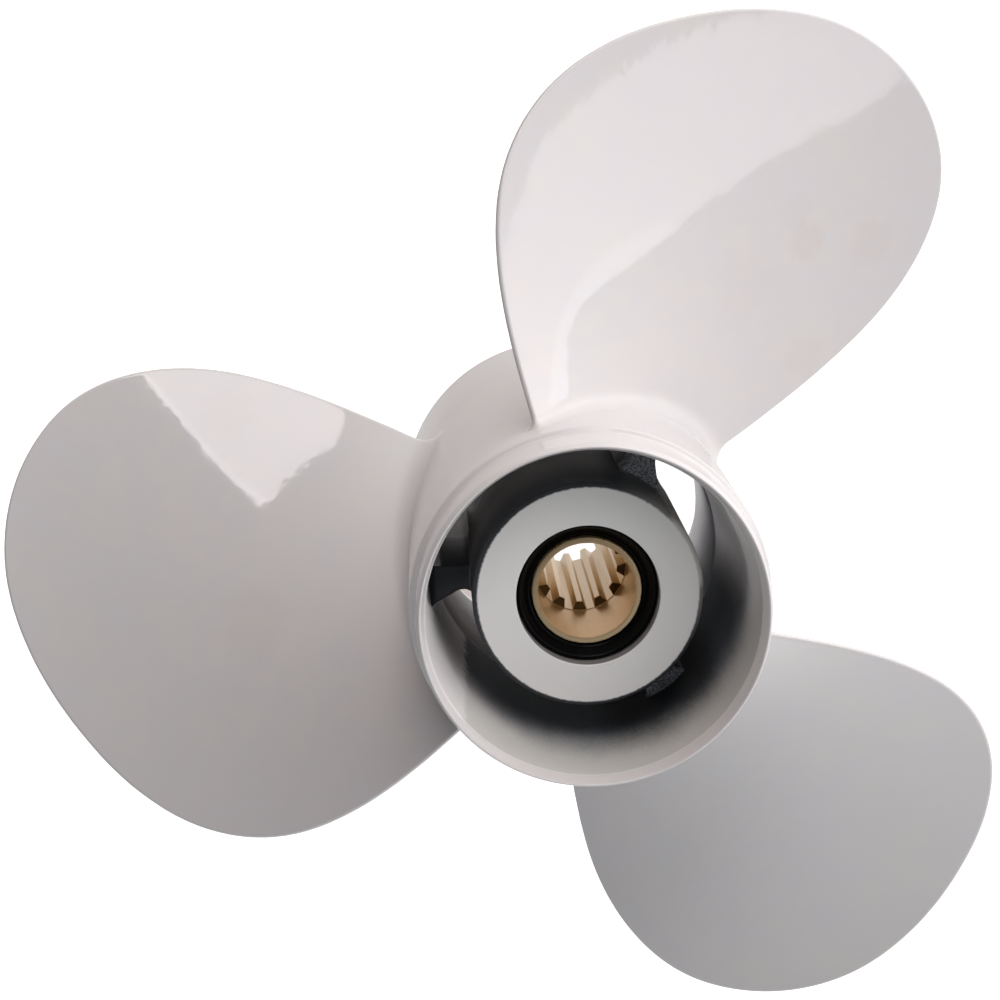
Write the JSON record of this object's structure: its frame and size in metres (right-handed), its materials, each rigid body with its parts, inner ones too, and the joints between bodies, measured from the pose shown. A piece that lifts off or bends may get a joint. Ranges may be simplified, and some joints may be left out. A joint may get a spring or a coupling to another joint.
{
  "type": "boat propeller",
  "caption": "Cast right-hand boat propeller whose blades stand on a through-hub exhaust barrel, with a ribbed inner hub, a rubber bush and a splined brass sleeve.",
  "frame": {"origin": "centre of the barrel's fore rim, on the shaft axis", "axes": "+Z along the shaft axis, pointing aft (from the gearcase to the propeller nut); +X points right in the picture, seen from aft, between the first blade and the third"},
  "size_m": [0.2506, 0.2635, 0.1257],
  "materials": {
    "white_paint": "gloss",
    "primed_casting": "rough",
    "black_rubber": "satin",
    "brass": "satin"
  },
  "bodies": {
    "root": {"outer_barrel": "white_paint", "blade_1": "white_paint", "blade_2": "white_paint", "blade_3": "white_paint", "inner_hub": "primed_casting", "rib_1": "primed_casting", "rib_2": "primed_casting", "rib_3": "primed_casting", "rubber_bush": "black_rubber", "splined_sleeve": "brass"}
  },
  "joints": []
}
